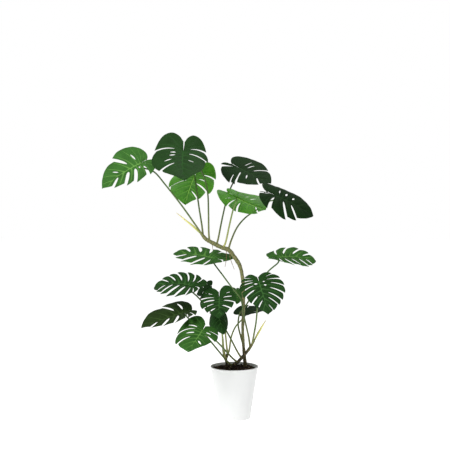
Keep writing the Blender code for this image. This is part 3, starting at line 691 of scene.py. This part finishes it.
def bent_point(leaf, side, x, y, rise=0.0):
    """Bend a flat point (blade lengths) into the leaf's own shape, in metres; rise lifts it off the blade."""
    arch, droop, curl_left, curl_right, fold = leaf.bend
    half = 0 if side > 0 else 1
    if x < 0:
        x *= leaf.base[half]
    y *= leaf.wide[half]
    rate = radians(arch) if x >= 0 else -radians(droop)
    ahead, height = arc_step(x, 0.0, rate)
    turn = rate * x
    curl = radians((curl_left, curl_right)[half]) / CURL_WIDTH
    across, lift = arc_step(y, -radians(fold), curl)
    lift += rise
    across *= side
    sweep, twist = leaf.skew
    roll = radians(twist) * x
    across, lift = across * cos(roll) - lift * sin(roll), across * sin(roll) + lift * cos(roll)
    across += sweep * x * abs(x)
    return leaf.length * Vector((ahead + lift * sin(turn), across, height + lift * cos(turn)))


def leaf_rotation(leaf):
    """Columns: along the midrib, to the left, and out of the upper side."""
    heading, pitch, roll = (radians(value) for value in leaf.aim)
    along = Vector((cos(pitch) * cos(heading), cos(pitch) * sin(heading), sin(pitch)))
    level = Vector((-sin(heading), cos(heading), 0))
    left = cos(roll) * level + sin(roll) * along.cross(level)
    return Matrix((along, left, along.cross(left))).transposed()


def half_gap(leaf, opening, out):
    """Half width of an opening, as a share of the margin, at a distance out from the midrib."""
    inner, outer, gap = opening[1:]
    if out <= inner or (outer < 1 and out >= outer):
        return 0.0
    share = (out - inner) / (outer - inner)
    widening = share ** 0.6 if outer == 1 else 2 * (share * (1 - share)) ** 0.5
    return 0.0005 * gap * widening / (MARGIN_LENGTH * leaf.length * out)


class HalfBlade:
    """Lobes, openings and veins of the left (side 1) or right (side -1) half of a leaf."""

    def __init__(self, leaf, side, nudge):
        self.leaf = leaf
        self.side = side
        self.openings = sorted(leaf.left if side > 0 else leaf.right)
        splits = [(o[0], o[1], LOBE_TAPER + TAPER_PER_GAP * o[3]) for o in self.openings if o[2] == 1]
        self.ends = [(0.0, 1.0, 0.0)] + splits + [(1.0, 1.0, 0.0)]
        self.cells = [0.0]
        for low, high in zip(self.ends, self.ends[1:]):
            self.cells.append(self.cells[-1] + max(1, round((high[0] - low[0]) / VEIN_SPACING)))
        self.lifts = nudge.uniform(-1, 1, len(self.ends))
        self.wave = nudge.uniform(0, 2 * pi)

    def cell(self, place):
        return float(np.interp(place, [end[0] for end in self.ends], self.cells))

    def point(self, place, out):
        """Position of a spot, with the lobe's slanted end, droop, quilting and rippled margin."""
        number = 0
        while number < len(self.ends) - 2 and place > self.ends[number + 1][0]:
            number += 1
        (low, low_root, slant), (high, high_root, far_slant) = self.ends[number:number + 2]
        share = (place - low) / (high - low)
        root = min(low_root + (high_root - low_root) * share, 0.999)
        reach = out
        rise = 0.0
        if out > root:
            beyond = (out - root) / (1 - root)
            taper = slant * (1 - share) ** 1.8 + 0.25 * far_slant * share ** 6
            reach -= taper * beyond ** 2 * (1 - root)
            rise -= LOBE_DROOP * (2 * share - 1) ** 2 * beyond
            rise += LOBE_LIFT * self.lifts[number] * beyond ** 2
        between = 0.5 + 0.5 * cos(2 * pi * self.cell(place))
        spread = min(1.0, out / 0.25) * (1 - 0.5 * out)
        rise += QUILTING * between * spread
        rise += RIPPLE * out ** 3 * sin(self.wave + RIPPLE_TURNS * pi * place)
        x, y = flat_point(place, reach)
        return bent_point(self.leaf, self.side, x, y, rise)


def upper_side(leaf, halves):
    """Points of the blade's upper side, and its faces as rows of (point number, spot)."""
    points = []
    numbers = {}
    faces = []

    def corner(key, make):
        if key not in numbers:
            numbers[key] = len(points)
            points.append(make())
        return numbers[key]

    columns = {}
    for side, half in halves.items():
        borders = [(0.0, 1.0, 1, 0)] + list(half.openings) + [(1.0, 1.0, 1, 0)]
        columns[side] = []
        for number, (low, high) in enumerate(zip(borders, borders[1:])):
            width = high[0] - low[0]
            count = max(2, int(np.ceil(width * BLADE_COLUMNS)))
            columns[side].append([(low[0] + width * step / count, step / count, number, low, high)
                                  for step in range(count + 1)])
    places = [column[0] for strips in columns.values() for strip in strips for column in strip]
    starts = sorted({round(vein_start(place), 4) for place in places})
    for start in starts:
        corner(("midrib", start), lambda: bent_point(leaf, 1, start, 0))
    for side, half in halves.items():
        for strip in columns[side]:
            lines = []
            for place, share, number, low, high in strip:
                line = []
                for row, out in enumerate(BLADE_ROWS):
                    first = low[0] + half_gap(leaf, low, out)
                    last = high[0] - half_gap(leaf, high, out)
                    spot = first + (last - first) * share
                    edge = low if share == 0 else high if share == 1 else None
                    shared = edge is not None and half_gap(leaf, edge, out) == 0
                    key = (side, row, edge[0]) if shared else (side, row, number, share)
                    line.append((corner(key, lambda: half.point(spot, out)), (half.cell(spot), out)))
                lines.append((round(vein_start(place), 4), place, line))
            for (start, place, near), (end, next_place, far) in zip(lines, lines[1:]):
                between = [s for s in starts if start <= s <= end]
                span = max(end - start, 1e-9)
                root = []
                for s in between:
                    cell = half.cell(place + (next_place - place) * (s - start) / span)
                    root.append((numbers["midrib", s], (cell, 0.0)))
                rows = [[near[0], far[0]] + root[::-1]]
                rows += [[near[k + 1], far[k + 1], far[k], near[k]] for k in range(len(near) - 1)]
                faces += rows if side > 0 else [row[::-1] for row in rows]
    return points, faces


def point_normals(points, faces):
    """Mean outward direction at each point."""
    corners = np.array(points)
    normals = np.zeros_like(corners)
    for face in faces:
        numbers = [number for number, _ in face]
        ring = corners[numbers]
        area = np.cross(ring - ring[0], np.roll(ring, -1, axis=0) - ring[0]).sum(axis=0)
        for number in numbers:
            normals[number] += area
    return normals / np.maximum(np.linalg.norm(normals, axis=1), 1e-12)[:, None]


def make_blade(name, leaf, number):
    """A thin blade with an upper side, a rim, an underside, and the raised midrib beneath."""
    nudge = np.random.default_rng(BLADE_SEED + number)
    halves = {side: HalfBlade(leaf, side, nudge) for side in (1, -1)}
    points, top = upper_side(leaf, halves)
    normals = point_normals(points, top)
    turn = leaf_rotation(leaf)
    joint = Vector(leaf.joint)
    upper = [turn @ point + joint for point in points]
    lower = [turn @ (point - BLADE_THICKNESS * Vector(normal)) + joint
             for point, normal in zip(points, normals)]
    count = len(points)
    form = Form()
    corners = [[n for n, spot in face] for face in top]
    spots = [[spot for n, spot in face] for face in top]
    form.add(upper + lower, corners, spots)
    used = {}
    for face in top:
        for (a, spot_a), (b, spot_b) in zip(face, face[1:] + face[:1]):
            used[a, b] = (spot_a, spot_b)
    rims = [(pair, ends) for pair, ends in used.items() if pair[::-1] not in used]
    form.faces += [[count + n for n in face][::-1] for face in corners]
    form.spots += [face[::-1] for face in spots]
    form.faces += [[b, a, count + a, count + b] for (a, b), ends in rims]
    form.spots += [[ends[1], ends[0], ends[0], ends[1]] for pair, ends in rims]
    form.finishes += [1] * (len(top) + len(rims))
    rib = []
    for share in np.linspace(0.0, 0.97, 15):
        radius = RIB_RADIUS * (1 - share) ** 0.7 + RIB_TIP_RADIUS
        spot = bent_point(leaf, 1, share, 0) - Vector((0, 0, BLADE_THICKNESS + 0.35 * radius))
        rib.append((*(turn @ spot + joint), radius))
    ribs = Form()
    add_tube(ribs, rib, RIB_SIDES)
    form.add(ribs.points, ribs.faces, [[(0.5, 0.0)] * len(face) for face in ribs.faces], 1)
    return form.piece(f"blade_{name}", [FINISHES["upper", leaf.tone], FINISHES["under", leaf.tone]],
                      f"leaf_{name}_blade")


def make_petiole(name, leaf):
    """A stalk that thickens at its foot and at the knee below the blade."""
    normal = leaf_rotation(leaf).col[2]
    joint = Vector(leaf.joint)
    last = len(PETIOLE_RADII) - 1
    rows = [(*point, PETIOLE_RADII[min(index, last)]) for index, point in enumerate(leaf.petiole)]
    rows.append((*(joint - KNEE_DEPTH * normal), KNEE_RADIUS))
    rows.append((*(joint - (BLADE_THICKNESS + BLADE_CLEARANCE) * normal), PETIOLE_TOP_RADIUS))
    path = smooth_path(rows, 8)
    length = np.linalg.norm(np.diff(path[:, :3], axis=0), axis=1).sum()

    def swell(angle, distance):
        knee = KNEE_SWELL * np.exp(-((length - distance - KNEE_PLACE) / KNEE_SPREAD) ** 2)
        channel = 0.05 * cos(angle) + 0.03 * cos(3 * angle)
        return 1 + knee + channel

    form = Form()
    add_tube(form, path, PETIOLE_SIDES, swell)
    return form.piece(f"petiole_{name}", [FINISHES["petiole", leaf.stalk]], f"leaf_{name}_petiole")


# ---- stems ----

def ringed(strength):
    """A swell that stands out at each ring scar."""
    def swell(angle, distance):
        along = (distance / NODE_SPACING) % 1.0
        ring = np.exp(-((along - 0.98) / 0.07) ** 2) + np.exp(-((along + 0.02) / 0.07) ** 2)
        lumps = 0.05 * sin(2 * angle + 90 * distance) + 0.03 * sin(5 * angle - 210 * distance)
        return 0.95 + strength * ring + lumps * 0.8
    return swell


def make_stems():
    for name, rows in STEMS.items():
        form = Form()
        add_tube(form, smooth_path(rows, 14), STEM_SIDES, ringed(0.13), in_metres=True)
        slot = "main_stem" if name == "main_stem" else "cane"
        form.piece(f"{name}_bark", [FINISHES[slot]], name)


def make_new_leaves():
    """Rolled young leaves, each with the free edge of the roll winding up it."""
    def roll(angle, distance):
        return 0.90 + 0.20 * ((angle / (2 * pi) + 14 * distance) % 1.0)

    for name, rows in NEW_LEAVES.items():
        form = Form()
        add_tube(form, smooth_path(rows, 14), NEW_LEAF_SIDES, roll)
        form.piece(f"{name}_roll", [FINISHES["new_leaf"]], name)


def make_roots():
    def knotted(angle, distance):
        return 1 + 0.14 * sin(260 * distance) + 0.10 * sin(3 * angle + 500 * distance)

    for name, rows in AERIAL_ROOTS.items():
        form = Form()
        add_tube(form, smooth_path(rows, 16), ROOT_SIDES, knotted)
        form.piece(f"{name}_bark", [FINISHES["root"]], name)


# ---- pot and soil ----

POT_LOW, POT_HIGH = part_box("pot")
SOIL_LOW, SOIL_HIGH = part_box("potting_soil")
RIM_RADIUS = 0.5 * (POT_HIGH[0] - POT_LOW[0])
POT_HEIGHT = POT_HIGH[2]
BASE_RADIUS = 0.071
POT_WALL = 0.0035
POT_FLOOR = 0.008            # height of the pot's inside floor
BAND_DEPTH = 0.0008          # how far the rim's band stands out from the wall
POT_SEGMENTS = 144
SOIL_CLEARANCE = 0.0008      # between the soil and the pot's wall
SOIL_SEGMENTS = 90
SOIL_RINGS = 25
SOIL_SEED = 7
CRUMBS = 650


def wall_radius(height):
    return BASE_RADIUS + (RIM_RADIUS - BAND_DEPTH - BASE_RADIUS) * height / POT_HEIGHT


def make_pot():
    """A tapered wall, two fine lines below a thin rounded rim, and a foot ring under it."""
    foot = 0.0025
    hollow = 0.0015
    outer = [(0, hollow), (BASE_RADIUS - 0.010, hollow), (BASE_RADIUS - 0.008, 0.0)]
    outer.append((BASE_RADIUS - foot, 0.0))
    outer += [(wall_radius(foot) - foot * (1 - sin(a)), foot - foot * cos(a))
              for a in np.linspace(0.3, pi / 2, 5)]
    outer += [(wall_radius(z), z) for z in np.linspace(0.02, POT_HEIGHT - 0.020, 14)]
    for line in (0.0165, 0.0105):
        z = POT_HEIGHT - line
        below = z - 0.0007
        above = z + 0.0007
        outer += [(wall_radius(below), below), (wall_radius(z) - 0.0005, z), (wall_radius(above), above)]
    band = POT_HEIGHT - 0.0085
    outer.append((wall_radius(band), band))
    outer += [(RIM_RADIUS - 0.0004, POT_HEIGHT - 0.0078), (RIM_RADIUS, POT_HEIGHT - 0.0070)]
    half = 0.5 * (RIM_RADIUS - wall_radius(POT_HEIGHT) + POT_WALL)
    crown = 0.0016
    outer += [(RIM_RADIUS - half + half * cos(a), POT_HEIGHT - crown + crown * sin(a))
              for a in np.linspace(0, pi, 9)]
    inner = [(wall_radius(z) - POT_WALL, z) for z in np.linspace(POT_HEIGHT - 0.006, POT_FLOOR, 8)]
    form = Form()
    add_lathe(form, outer + inner + [(0, POT_FLOOR)], POT_SEGMENTS)
    form.piece("pot_glazed", [FINISHES["pot"]], "pot", 30)


def lump(nudge, centre, size):
    """A rough crumb: a stretched eight-cornered block with its corners moved about."""
    corners = np.array([(x, y, z) for z in (-1, 1) for y in (-1, 1) for x in (-1, 1)], float)
    corners *= size * nudge.uniform(0.55, 1.3, 3) * np.array((1, 1, 0.7))
    corners += nudge.normal(0, 0.18 * size, corners.shape)
    spin = Matrix.Rotation(nudge.uniform(0, 2 * pi), 3, "Z")
    turn = spin @ Matrix.Rotation(nudge.uniform(-0.6, 0.6), 3, "X")
    faces = [[0, 2, 3, 1], [4, 5, 7, 6], [0, 1, 5, 4], [1, 3, 7, 5], [3, 2, 6, 7], [2, 0, 4, 6]]
    return [turn @ Vector(corner) + centre for corner in corners], faces


def make_soil():
    """An uneven crumbly surface, with bark and grit lying in it."""
    nudge = np.random.default_rng(SOIL_SEED)
    radius = wall_radius(SOIL_HIGH[2]) - POT_WALL - SOIL_CLEARANCE
    waves = [(nudge.uniform(20, 160), nudge.uniform(0, 2 * pi), nudge.uniform(0, 2 * pi)) for _ in range(14)]

    def ground(x, y):
        bumps = sum(sin(f * (x * cos(a) + y * sin(a)) + p) / (1 + f / 60) for f, a, p in waves) * 0.0009
        return SOIL_HIGH[2] - 0.001 + bumps - 0.004 * (np.hypot(x, y) / radius) ** 4

    points = [(0, 0, ground(0, 0))]
    for reach in np.linspace(0, 1, SOIL_RINGS + 1)[1:] * radius:
        points += [(x, y, ground(x, y)) for x, y in circle(reach, SOIL_SEGMENTS)]
    floor_radius = wall_radius(SOIL_LOW[2]) - POT_WALL - SOIL_CLEARANCE
    points += [(x, y, SOIL_LOW[2]) for x, y in circle(floor_radius, SOIL_SEGMENTS)]
    faces = [[0, 1 + s, 1 + (s + 1) % SOIL_SEGMENTS] for s in range(SOIL_SEGMENTS)]
    for ring in range(SOIL_RINGS):
        near = 1 + ring * SOIL_SEGMENTS
        far = near + SOIL_SEGMENTS
        for s in range(SOIL_SEGMENTS):
            t = (s + 1) % SOIL_SEGMENTS
            faces.append([near + s, far + s, far + t, near + t])
    faces.append([1 + SOIL_RINGS * SOIL_SEGMENTS + s for s in range(SOIL_SEGMENTS)][::-1])
    form = Form()
    form.add(points, faces, [[(0.0, 0.0)] * len(face) for face in faces])
    for _ in range(CRUMBS):
        size = 0.0012 + 0.0028 * nudge.random() ** 3
        reach = (radius - 1.8 * size) * nudge.random() ** 0.5
        angle = nudge.uniform(0, 2 * pi)
        x = reach * cos(angle)
        y = reach * sin(angle)
        corners, sides = lump(nudge, Vector((x, y, ground(x, y) + 0.3 * size)), size)
        tint = 0.1 + 0.9 * nudge.random() ** 2
        form.add(corners, sides, [[(tint, 0.0)] * 4 for _ in sides])
    form.piece("soil_crumbly", [FINISHES["soil"]], "potting_soil", 25)


# ---- studio ----

FLOOR_REACH = 40.0
FLOOR_LEVEL = -0.0005        # just below the pot's foot
WORLD_LIGHT = 0.34
PLANT_MIDDLE = (-0.1, 0.0, 0.75)
# name, place, size and power of each lamp; all of them point at the middle of the plant
LAMPS = (
    ("key_light", (-1.9, -2.6, 2.9), 1.6, 112),
    ("top_light", (0.3, 0.4, 3.4), 1.8, 22),
    ("fill_light", (2.6, -1.8, 1.2), 2.0, 2),
)
CAMERA_PLACE = (-0.042, -3.4, 0.866)
CAMERA_LENS = 60.45


def make_floor():
    look = Look("studio_floor_paint", 0.9, 0.1)
    look.finish(look.blend(look.noise(3, 2), (0.93, 0.93, 0.93), (0.95, 0.95, 0.95)))
    look.shader.inputs["Emission Color"].default_value = (1, 1, 1, 1)
    look.shader.inputs["Emission Strength"].default_value = 0.70
    mesh = bpy.data.meshes.new("studio_floor")
    far = FLOOR_REACH
    corners = [(x, y, FLOOR_LEVEL) for x, y in ((-far, -far), (far, -far), (far, far), (-far, far))]
    mesh.from_pydata(corners, [], [[0, 1, 2, 3]])
    mesh.materials.append(look.material)
    floor = bpy.data.objects.new("studio_floor", mesh)
    bpy.context.scene.collection.objects.link(floor)


def add_lamp(name, place, size, power):
    lamp = bpy.data.lights.new(name, "AREA")
    lamp.shape = "SQUARE"
    lamp.size = size
    lamp.energy = power
    thing = bpy.data.objects.new(name, lamp)
    thing.location = place
    thing.rotation_euler = (Vector(PLANT_MIDDLE) - Vector(place)).to_track_quat("-Z", "Y").to_euler()
    bpy.context.scene.collection.objects.link(thing)


def make_studio():
    """An even white surround that is seen brighter than it lights, and three soft lamps."""
    scene = bpy.context.scene
    world = bpy.data.worlds.new("studio_light")
    scene.world = world
    world.use_nodes = True
    tree = world.node_tree
    seen = tree.nodes["Background"]
    seen.inputs["Color"].default_value = (1, 1, 1, 1)
    path = tree.nodes.new("ShaderNodeLightPath")
    level = tree.nodes.new("ShaderNodeMapRange")
    level.inputs["To Min"].default_value = WORLD_LIGHT
    level.inputs["To Max"].default_value = 1.0
    tree.links.new(path.outputs["Is Camera Ray"], level.inputs["Value"])
    tree.links.new(level.outputs[0], seen.inputs["Strength"])
    scene.view_settings.view_transform = "Standard"
    scene.view_settings.look = "None"
    for lamp in LAMPS:
        add_lamp(*lamp)


def make_camera():
    camera = bpy.data.cameras.new("camera")
    camera.sensor_width = 36.0
    camera.lens = CAMERA_LENS
    thing = bpy.data.objects.new("camera", camera)
    thing.location = CAMERA_PLACE
    thing.rotation_euler = (pi / 2, 0, 0)
    bpy.context.scene.collection.objects.link(thing)
    bpy.context.scene.camera = thing


FINISHES = {
    "pot": pot_glaze(), "soil": soil_crumbs(), "new_leaf": new_leaf_skin(), "root": root_bark(),
    "main_stem": stem_bark("main_stem_bark_finish", (0.17, 0.150, 0.060), (0.24, 0.25, 0.10), 0.12),
    "cane": stem_bark("cane_bark_finish", (0.095, 0.080, 0.040), (0.14, 0.15, 0.045), 0.14),
}
for tone in LEAF_TONES:
    FINISHES["upper", tone] = leaf_upper(tone)
    FINISHES["under", tone] = leaf_under(tone)
for tone in PETIOLE_TONES:
    FINISHES["petiole", tone] = petiole_skin(tone)

make_pot()
make_soil()
make_stems()
make_new_leaves()
make_roots()
for number, (name, leaf) in enumerate(LEAVES.items()):
    make_blade(name, leaf, number)
    make_petiole(name, leaf)
make_floor()
make_studio()
make_camera()
